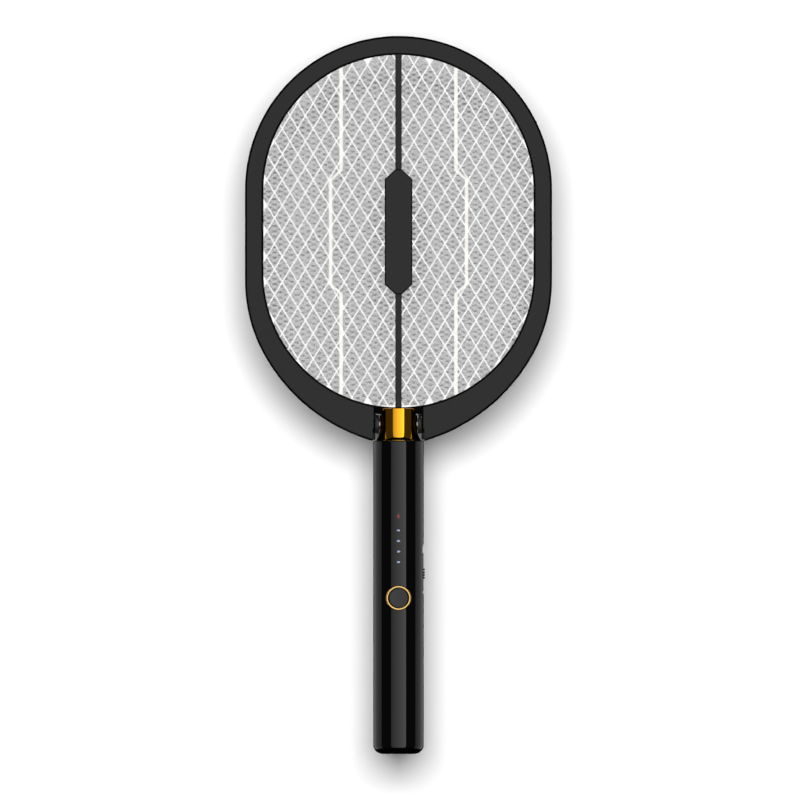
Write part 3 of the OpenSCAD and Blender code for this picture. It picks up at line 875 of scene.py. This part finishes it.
@dataclass
class LiveGrid:
    """The fine expanded-metal grid: two layers of flat cells, half a cell apart."""

    outline: Outline
    cell_w: float = 7.29 * MM
    cell_h: float = 3.47 * MM
    strand: float = 0.52 * MM
    sheet: float = 0.18 * MM

    def cell(self, name: str) -> Piece:
        """One open cell: a flat diamond ring."""
        deselect_all()
        bpy.ops.mesh.primitive_circle_add(
            vertices=4, radius=1, fill_type="NGON", rotation=(math.pi / 2, 0, 0)
        )
        cell = bpy.context.object
        cell.name = name
        take(cell)
        bpy.ops.object.transform_apply(location=True, rotation=True, scale=True)
        with editing(cell):
            bpy.ops.transform.resize(value=(self.cell_w / 2, 1, self.cell_h / 2))
            bpy.ops.mesh.select_mode(type=Pick.FACES.value)
            bpy.ops.mesh.inset(thickness=self.strand / 2, depth=0)
            bpy.ops.mesh.delete(type="FACE")
        return cell

    def layer(self, name: str, y: float, shift: Numbers) -> Piece:
        """Repeats the cell over the opening as one sheet.

        Args:
            name: the sheet's name.
            y: its middle plane.
            shift: how far the pattern is moved, in cells, across and up.

        Returns:
            The sheet, trimmed to the grid's outline.
        """
        sheet = self.cell(name)
        shape = self.outline
        reach = shape.open_r + shape.lip
        columns = 2 * math.ceil(reach / self.cell_w) + 3
        rows = 2 * math.ceil((reach + shape.open_len / 2) / self.cell_h) + 3
        half = (self.cell_w / 2, 0, self.cell_h / 2)
        steps = [((self.cell_w, 0, 0), columns), ((0, 0, self.cell_h), rows), (half, 2)]
        for offset, count in steps:
            apply_modifier(
                sheet,
                "ARRAY",
                use_relative_offset=False,
                use_constant_offset=True,
                constant_offset_displace=offset,
                count=count,
                use_merge_vertices=True,
                merge_threshold=0.02 * MM,
            )
        middle_z = (shape.open_high + shape.open_low) / 2
        corner_x = -(columns // 2) * self.cell_w + shift[0] * self.cell_w
        corner_z = middle_z - (rows // 2) * self.cell_h + shift[1] * self.cell_h
        with editing(sheet):
            bpy.ops.transform.translate(value=(corner_x, y, corner_z))
            edge = shape.lip - 0.3 * MM
            choose(
                sheet,
                Pick.VERTS,
                lambda v: not shape.inside(v.co.x, v.co.z, edge)
                or (abs(v.co.x) < shape.notch + MM and v.co.z < shape.open_floor - MM),
            )
            bpy.ops.mesh.delete(type="VERT")
        apply_modifier(sheet, "SOLIDIFY", thickness=self.sheet, offset=0)
        return sheet

    def build(self, material: Material) -> None:
        """Models both layers and hands them over."""
        low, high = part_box("live_grid")
        quarter = (high.y - low.y) / 4
        front = self.layer("live_grid_front_layer", low.y + quarter, (0, 0))
        back = self.layer("live_grid_rear_layer", high.y - quarter, (0.25, 0.5))
        hand_over(front, "head", material, ["live_grid"])
        hand_over(back, "head", material)


# --- neck


@dataclass
class NeckPost:
    """The gold post: a flared foot, a tall front and a knuckle round the hinge pin."""

    post_r: float = 12.4 * MM
    flare_r: float = 14.7 * MM
    flare_h: float = 7.8 * MM
    foot_z: float = 205.2 * MM
    pivot_z: float = 216 * MM
    collar_top: float = 211.5 * MM
    shield_y: float = 4.4 * MM
    knuckle_r: float = 6 * MM
    knuckle_x: float = 12.4 * MM
    flat_y: float = 9.8 * MM
    round_top: float = 0.5 * MM

    def radius_at(self, z: float) -> float:
        """The post's radius at a height."""
        up = min(max((z - self.foot_z) / self.flare_h, 0), 1)
        return self.post_r + (self.flare_r - self.post_r) * (1 - up) ** 2.2

    def normal_at(self, point: Vector) -> Vector:
        """The outward normal of the turned surface at a point."""
        step = 0.05 * MM
        slope = (self.radius_at(point.z + step) - self.radius_at(point.z - step)) / (2 * step)
        flat = Vector((point.x, point.y, 0)).normalized()
        return Vector((flat.x, flat.y, -slope)).normalized()

    def on_skin(self, point: Vector) -> bool:
        """Whether a point is on the turned surface."""
        return abs(math.hypot(point.x, point.y) - self.radius_at(point.z)) < 0.03 * MM

    def build(self, material: Material) -> Piece:
        """Turns the post, cuts away its upper back and joins the knuckle."""
        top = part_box("neck_post")[1].z
        rings = 24
        heights = [self.foot_z + self.flare_h * i / rings for i in range(rings + 1)]
        profile = [(0, self.foot_z)]
        profile += [(self.radius_at(z), z) for z in heights]
        profile += [
            (self.post_r, top - self.round_top),
            (self.post_r - self.round_top * 0.3, top - self.round_top * 0.3),
            (self.post_r - self.round_top, top),
            (0, top),
        ]
        post = turned("neck_post_gold", profile, 128)
        far = 20 * MM
        back = block("back", (-far, -self.shield_y, self.collar_top), (far, far, top + MM))
        combine(post, back, Cut.TAKE_AWAY)
        half = self.knuckle_x
        knuckle = axle("knuckle", self.knuckle_r, -half, half, self.pivot_z)
        web = block(
            "web",
            (-half, -self.shield_y - MM, self.collar_top - MM),
            (half, self.knuckle_r, self.pivot_z),
        )
        combine(knuckle, web, Cut.JOIN)
        round_bar = bar("round", self.post_r, (0, 0, 200 * MM), (0, 0, 230 * MM))
        combine(knuckle, round_bar, Cut.KEEP_SHARED)
        combine(post, knuckle, Cut.JOIN)
        low_z = self.foot_z + 0.01 * MM
        flat = block("flat", (-far, self.flat_y, low_z), (far, 30 * MM, top + MM))
        combine(post, flat, Cut.TAKE_AWAY)
        clean(post)
        smooth(post, 30)
        round_normals(post, self.normal_at, self.on_skin)
        return hand_over(post, "handle", material, ["neck_post"])


# --- handle


@dataclass
class HandleShell:
    """Half of the round handle: front or rear, parted down both sides."""

    rear: bool
    radius: float = 16.5 * MM
    foot_r: float = 10 * MM
    corner_h: float = 5.8 * MM
    wall: float = 1.8 * MM
    top_edge: float = 0.6 * MM
    plate_r: float = 9.8 * MM
    floor_z: float = 2.6 * MM
    hollow_z: float = 6 * MM
    spigot_r: float = 9.05 * MM
    roof: float = 2.5 * MM
    screw_r: float = 2.6 * MM
    screw_zs: tuple[float, ...] = (19 * MM, 115 * MM, 190.5 * MM)
    button_z: float = 102.1 * MM
    ring_r: float = 8.25 * MM
    slide_low: float = 104.1 * MM
    slide_high: float = 137.8 * MM
    slide_w: float = 9.6 * MM
    slide_x: float = 14.6 * MM

    def __post_init__(self) -> None:
        """Reads the handle's height from the frame."""
        self.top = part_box("handle_front")[1].z

    def profile(self) -> list[tuple[float, float]]:
        """The handle's outside from its foot to its rim, as radius and height."""
        rounds = 20
        turns = [math.pi / 2 * i / rounds for i in range(rounds + 1)]
        spread = self.radius - self.foot_r
        points = [
            (self.foot_r + spread * math.sin(t), self.corner_h * (1 - math.cos(t))) for t in turns
        ]
        rows = 60
        height = self.top - self.top_edge
        points += [
            (self.radius, self.corner_h + (height - self.corner_h) * i / rows)
            for i in range(1, rows + 1)
        ]
        return points + [(self.radius - self.top_edge, height + self.top_edge)]

    def normal_at(self, point: Vector) -> Vector:
        """The outward normal of the handle's skin at a point."""
        flat = Vector((point.x, point.y, 0)).normalized()
        if point.z >= self.corner_h:
            return flat
        spread = self.radius - self.foot_r
        out = (math.hypot(point.x, point.y) - self.foot_r) / spread**2
        down = (self.corner_h - point.z) / self.corner_h**2
        return Vector((flat.x * out, flat.y * out, -down)).normalized()

    def on_skin(self, point: Vector) -> bool:
        """Whether a point is on the outer skin."""
        r = math.hypot(point.x, point.y)
        if point.z > self.top - self.top_edge + 0.01 * MM:
            return False
        if point.z >= self.corner_h:
            return abs(r - self.radius) < 0.03 * MM
        out = max(r - self.foot_r, 0) / (self.radius - self.foot_r)
        down = (self.corner_h - point.z) / self.corner_h
        return abs(math.hypot(out, down) - 1) < 0.01

    def build(self, material: Material) -> Piece:
        """Turns half the handle with its wall, then cuts its openings."""
        name = "handle_shell_rear" if self.rear else "handle_shell_front"
        outer = self.profile()
        top = outer[-1][1]
        inner_r = self.radius - self.wall
        spigot, ceiling = self.spigot_r, top - self.roof
        profile = [(self.plate_r, 0), (self.foot_r, 0), *outer[1:]]
        profile += [(spigot, top), (spigot, ceiling), (inner_r, ceiling)]
        profile += [(inner_r, self.hollow_z), (self.plate_r, self.floor_z), (self.plate_r, 0)]
        shell = turned(name, profile, 96, 180, 0 if self.rear else 180)
        with editing(shell):
            bpy.ops.mesh.select_mode(type=Pick.EDGES.value)
            bpy.ops.mesh.select_all(action="DESELECT")
            bpy.ops.mesh.select_non_manifold(extend=False)
            bpy.ops.mesh.edge_face_add()
        clean(shell)
        self.cut_slide(shell)
        if self.rear:
            for z in self.screw_zs:
                drill(shell, self.screw_r, (0, z), 12 * MM, 20 * MM)
        else:
            drill(shell, self.ring_r, (0, self.button_z), -20 * MM, -10 * MM)
        clean(shell)
        smooth(shell, 30)
        round_normals(shell, self.normal_at, self.on_skin)
        node = "handle_rear" if self.rear else "handle_front"
        return hand_over(shell, "handle", material, [node])

    def cut_slide(self, shell: Piece) -> None:
        """Adds the pad behind the slide and sinks the slide's recess into it."""
        y0, y1 = (0, 6.5 * MM) if self.rear else (-6.5 * MM, 0)
        pad = block(
            "pad",
            (12.4 * MM, y0, self.slide_low - 2.5 * MM),
            (self.slide_x + 0.6 * MM, y1, self.slide_high + 2.5 * MM),
        )
        combine(shell, pad, Cut.JOIN)
        height = self.slide_high - self.slide_low
        middle = (self.slide_low + self.slide_high) / 2
        recess = pill_plate("recess", self.slide_w, height, (0, middle), -20 * MM, -self.slide_x)
        recess.data.transform(quarter_turn())
        combine(shell, recess, Cut.TAKE_AWAY)


def quarter_turn() -> Matrix:
    """The turn that takes a piece from the handle's front to its slide side."""
    return Matrix.Rotation(math.pi / 2, 4, "Z")


# --- controls


@dataclass
class ButtonRing:
    """The gold ring round the push button: a half-round bead on a collar."""

    inner: float = 6.5 * MM
    outer: float = 8.2 * MM
    front: float = 16.9 * MM
    base: float = 14 * MM
    collar_r: float = 7.4 * MM
    collar_end: float = 12.4 * MM

    def build(self, material: Material, z: float) -> Piece:
        """Turns the ring and stands it at the button's height."""
        middle, bead = (self.inner + self.outer) / 2, (self.outer - self.inner) / 2
        shoulder = self.front - bead
        profile = [(self.outer, self.base), (self.outer, shoulder)]
        steps = 10
        for i in range(1, steps):
            turn = math.pi * i / steps
            profile.append((middle + bead * math.cos(turn), shoulder + bead * math.sin(turn)))
        profile += [(self.inner, shoulder), (self.inner, self.collar_end)]
        profile += [(self.collar_r, self.collar_end), (self.collar_r, self.base)]
        profile += [(self.outer, self.base)]
        ring = turned("button_ring_gold", profile, 96)
        face_forward(ring, z)
        clean(ring)
        smooth(ring, 40)
        return hand_over(ring, "handle", material, ["button_ring"])


def face_forward(piece: Piece, z: float) -> None:
    """Lays a piece turned about Z down so that its top faces -Y, at height z."""
    piece.data.transform(Matrix.Translation((0, 0, z)) @ Matrix.Rotation(math.pi / 2, 4, "X"))


@dataclass
class PushButton:
    """The push button: a shallow dished cap on a stem."""

    cap_r: float = 6.2 * MM
    front: float = 17 * MM
    edge: float = 0.5 * MM
    dish: float = 0.25 * MM
    stem_r: float = 1.5 * MM
    stem_end: float = 9.7 * MM
    flange_r: float = 7.2 * MM
    flange_low: float = 11.2 * MM
    flange_high: float = 12 * MM

    def build(self, material: Material, z: float) -> Piece:
        """Turns the button and stands it in its ring."""
        rim = self.cap_r - self.edge
        rows = 12
        profile = [(0, self.stem_end), (self.stem_r, self.stem_end)]
        profile += [(self.stem_r, self.flange_low), (self.flange_r, self.flange_low)]
        profile += [(self.flange_r, self.flange_high), (self.cap_r, self.flange_high)]
        profile += [(self.cap_r, self.front - self.edge)]
        steps = 6
        for i in range(1, steps + 1):
            turn = math.pi / 2 * i / steps
            profile.append(
                (rim + self.edge * math.cos(turn), self.front - self.edge * (1 - math.sin(turn)))
            )
        for i in range(1, rows + 1):
            r = rim * (1 - i / rows)
            profile.append((r, self.front - self.dish * (1 - (r / rim) ** 2)))
        button = turned("power_button_cap", profile, 96)
        face_forward(button, z)
        clean(button)
        smooth(button, 40)
        return hand_over(button, "power_button", material, ["power_button"])


@dataclass
class SideSlide:
    """The slide on the handle's right side, with a ribbed grip."""

    width: float = 8.6 * MM
    length: float = 25 * MM
    low: float = 106.5 * MM
    skin: float = 16.35 * MM
    inner: float = 14.9 * MM
    nub_low: float = 114.7 * MM
    nub_len: float = 7.1 * MM
    nub_proud: float = 0.85 * MM
    nub_half: float = 3.4 * MM
    ribs: int = 4

    def build(self, material: Material) -> Piece:
        """Cuts the slide from a curved blank and adds its ribs."""
        middle = self.low + self.length / 2
        slide = pill_plate(
            "mode_slider_grip", self.width, self.length, (0, middle), -20 * MM, -self.inner
        )
        slide.data.transform(quarter_turn())
        tube = bar("tube", self.skin, (0, 0, 90 * MM), (0, 0, 150 * MM))
        combine(slide, tube, Cut.KEEP_SHARED)
        pitch = self.nub_len / self.ribs
        for i in range(self.ribs):
            z = self.nub_low + i * pitch
            rib = block(
                "rib",
                (self.inner, -self.nub_half, z),
                (self.skin + self.nub_proud, self.nub_half, z + pitch * 0.72),
            )
            bevel_edges(rib, 0.3 * MM, 3, is_corner)
            combine(slide, rib, Cut.JOIN)
        neck = block(
            "neck",
            (11.4 * MM, -1.1 * MM, self.nub_low + MM),
            (self.inner + 0.4 * MM, 1.1 * MM, self.nub_low + self.nub_len - MM),
        )
        combine(slide, neck, Cut.JOIN)
        clean(slide)
        smooth(slide, 30)
        return hand_over(slide, "mode_slider", material, ["mode_slider"])


# --- studio


@dataclass
class Studio:
    """Pale floor, white backdrop, soft lights and the camera."""

    view_height: float = 0.52368
    aim_x: float = 0.00098
    aim_z: float = 0.2317
    camera_away: float = 1.5
    backdrop_y: float = 0.8
    backdrop_half: float = 0.75
    floor_half: float = 3.0
    card_h: float = 2.6
    card_z: float = 0.35

    def camera(self) -> None:
        """Stands a parallel camera square in front of the swatter."""
        data = bpy.data.cameras.new("camera")
        data.type = "ORTHO"
        data.ortho_scale = self.view_height
        eye = bpy.data.objects.new("camera", data)
        bpy.context.scene.collection.objects.link(eye)
        eye.location = (self.aim_x, -self.camera_away, self.aim_z)
        eye.rotation_euler = (math.pi / 2, 0, 0)
        bpy.context.scene.camera = eye

    def sheet(self, name: str, half_w: float, half_h: float, upright: bool) -> Piece:
        """A flat stage sheet."""
        deselect_all()
        bpy.ops.mesh.primitive_plane_add(size=2)
        sheet = bpy.context.object
        sheet.name = name
        with editing(sheet):
            bpy.ops.transform.resize(value=(half_w, half_h, 1))
        if upright:
            sheet.data.transform(Matrix.Rotation(math.pi / 2, 4, "X"))
            sheet.data.transform(Matrix.Translation((0, self.backdrop_y, self.aim_z)))
        return sheet

    def stage(self) -> None:
        """Lays the floor and hangs the backdrop; neither casts a shadow."""
        floor = self.sheet("floor", self.floor_half, self.floor_half, False)
        card = self.sheet("backdrop", self.backdrop_half, self.backdrop_half, True)
        tree = Shader("studio white")
        tone = tree.noise(0.4, 1)
        tree.set(Base_Color=tree.mix(tone, grey(0.96), grey(0.98)), Roughness=0.9)
        tree.principled.inputs["Specular IOR Level"].default_value = 0.0
        for sheet in (floor, card):
            dress(sheet, tree.material)
            sheet.visible_shadow = sheet.visible_glossy = sheet.visible_diffuse = False

    def sun(self, name: str, strength: float, angle: float, tilt: Numbers) -> None:
        """A distant soft lamp that only lights matt surfaces.

        Args:
            name: the lamp's name.
            strength: its strength, in W per square metre.
            angle: how wide it looks, in degrees, which sets how soft its shadows are.
            tilt: its rotation, in degrees.
        """
        data = bpy.data.lights.new(name, "SUN")
        data.energy = strength
        data.angle = math.radians(angle)
        lamp = bpy.data.objects.new(name, data)
        bpy.context.scene.collection.objects.link(lamp)
        lamp.rotation_euler = [math.radians(t) for t in tilt]
        lamp.visible_glossy = False

    def glow_card(
        self,
        name: str,
        width: float,
        place: Numbers,
        bearing: float,
        shades: tuple[float, float],
    ) -> None:
        """A glowing upright card that only reflections see, graded from side to side.

        Args:
            name: the card's name.
            width: its width.
            place: where it stands, in x and y.
            bearing: its turn about the vertical, in degrees.
            shades: its brightness at its own -X and +X edges.
        """
        half_w = width / 2
        card = self.sheet(name, half_w, self.card_h / 2, False)
        turn = Matrix.Rotation(math.radians(bearing), 4, "Z") @ Matrix.Rotation(math.pi / 2, 4, "X")
        card.matrix_world = Matrix.Translation((*place, self.card_z)) @ turn
        tree = Shader(name)
        apart = tree.node("ShaderNodeSeparateXYZ", {}, {0: tree.place()}, "X")
        across = apart * (0.5 / half_w) + 0.5
        low, high = (shade / max(shades) for shade in shades)
        tree.set(
            Base_Color=(0, 0, 0, 1),
            Emission_Color=tree.mix(across, grey(low), grey(high)),
            Emission_Strength=max(shades),
        )
        tree.principled.inputs["Specular IOR Level"].default_value = 0.0
        dress(card, tree.material)
        card.visible_camera = card.visible_diffuse = card.visible_shadow = False
        card.visible_transmission = False

    def world(self) -> None:
        """A white surround for the camera, and a dim one for everything else."""
        world = bpy.data.worlds.new("surround")
        bpy.context.scene.world = world
        world.use_nodes = True
        nodes, links = world.node_tree.nodes, world.node_tree.links
        nodes.clear()
        path = nodes.new("ShaderNodeLightPath")
        output = nodes.new("ShaderNodeOutputWorld")
        shades = {"camera": 1.0, "diffuse": 0.02, "other": 0.0}
        glow = {}
        for name, level in shades.items():
            glow[name] = nodes.new("ShaderNodeBackground")
            glow[name].inputs["Color"].default_value = (*grey(1.0), 1)
            glow[name].inputs["Strength"].default_value = level
        inner, outer = nodes.new("ShaderNodeMixShader"), nodes.new("ShaderNodeMixShader")
        links.new(path.outputs["Is Diffuse Ray"], inner.inputs[0])
        links.new(glow["other"].outputs[0], inner.inputs[1])
        links.new(glow["diffuse"].outputs[0], inner.inputs[2])
        links.new(path.outputs["Is Camera Ray"], outer.inputs[0])
        links.new(inner.outputs[0], outer.inputs[1])
        links.new(glow["camera"].outputs[0], outer.inputs[2])
        links.new(outer.outputs[0], output.inputs[0])

    def build(self) -> None:
        """Sets up the whole studio."""
        self.camera()
        self.stage()
        self.world()
        self.sun("front key", 3.22, angle=2.6, tilt=(90 - 0.8, 0, 0))
        self.sun("rear fill", 2.0, angle=20, tilt=(-70, 0, 0))
        self.sun("left fill", 0.5, angle=40, tilt=(60, 0, -90))
        self.sun("right fill", 0.5, angle=40, tilt=(60, 0, 90))
        self.glow_card("front card", 1.72, (0, -1.25), bearing=0, shades=(0.5, 1.75))
        for side in (-1, 1):
            self.glow_card("side card", 2.6, (side * 1.5, 1.15), bearing=90, shades=(0.4, 0.8))
            place = (side * 1.2, -0.655)
            self.glow_card("wing card", 1.16, place, bearing=side * 58.8, shades=(0.045, 0.045))
        bpy.context.scene.view_settings.view_transform = "Standard"
        bpy.context.scene.view_settings.look = "None"


# --- main


def dress_frame_nodes() -> None:
    """Gives every frame node that stays its finish."""
    plain = {
        GRID_WIRE: ["outer_grid_front", "outer_grid_rear"],
        IVORY_PLASTIC: ["spacer_front", "spacer_rear"],
        BRASS: ["grid_terminals", "battery_contact"],
        LEAD_RED: ["grid_leads", "power_wires"],
        LEAD_BLACK: ["lamp_leads"],
        LEAD_WHITE: ["hv_wires"],
        BOARD: ["lamp_board", "usb_board", "main_board"],
        LED_BODY: ["lamp_leds", "indicator_leds"],
        LAMP_WINDOW: ["lamp_lens"],
        STEEL: ["frame_screws", "hinge_pin", "usb_socket", "battery_spring", "mode_switch",
                "handle_screws"],
        BUSH_PLASTIC: ["hinge_bushes", "battery_cradle", "board_chips", "hv_diodes", "tact_switch"],
        GLOSS_BLACK: ["end_plate"],
        CELL_WRAP: ["battery_cell"],
        COPPER: ["hv_transformer"],
        CAPACITOR_RED: ["hv_capacitors"],
        GAUGE_WINDOW: ["charge_light_guide"],
        BOLT_WINDOW: ["shock_light_guide"],
    }
    for finish, names in plain.items():
        material = finish.material()
        for name in names:
            dress(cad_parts[name], material)
        LOG.info("%s on %s", finish.name, ", ".join(names))


def main() -> None:
    """Builds the studio and every piece."""
    logging.basicConfig(level=logging.INFO, format="%(name)s: %(message)s")
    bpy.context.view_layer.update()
    Studio().build()
    dress_frame_nodes()
    outline = Outline()
    head_plastic = HEAD_PLASTIC.material()
    # Near-black plastic for the painted shade on the rim's edges, notch and bridge.
    edge_shade = EDGE_SHADE_PLASTIC.material()
    for rear in (False, True):
        FrameShell(outline, rear).build(head_plastic, edge_shade)
    LiveGrid(outline).build(FINE_WIRE.material())
    gold = GOLD.material()
    NeckPost().build(gold)
    gloss = GLOSS_BLACK.material()
    shells = [HandleShell(rear) for rear in (False, True)]
    for shell in shells:
        shell.build(gloss)
    button_z = shells[0].button_z
    ButtonRing().build(RING_GOLD.material(), button_z)
    PushButton().build(BUTTON_BLACK.material(), button_z)
    SideSlide().build(SLIDE_PLASTIC.material())


if __name__ == "__main__":
    main()
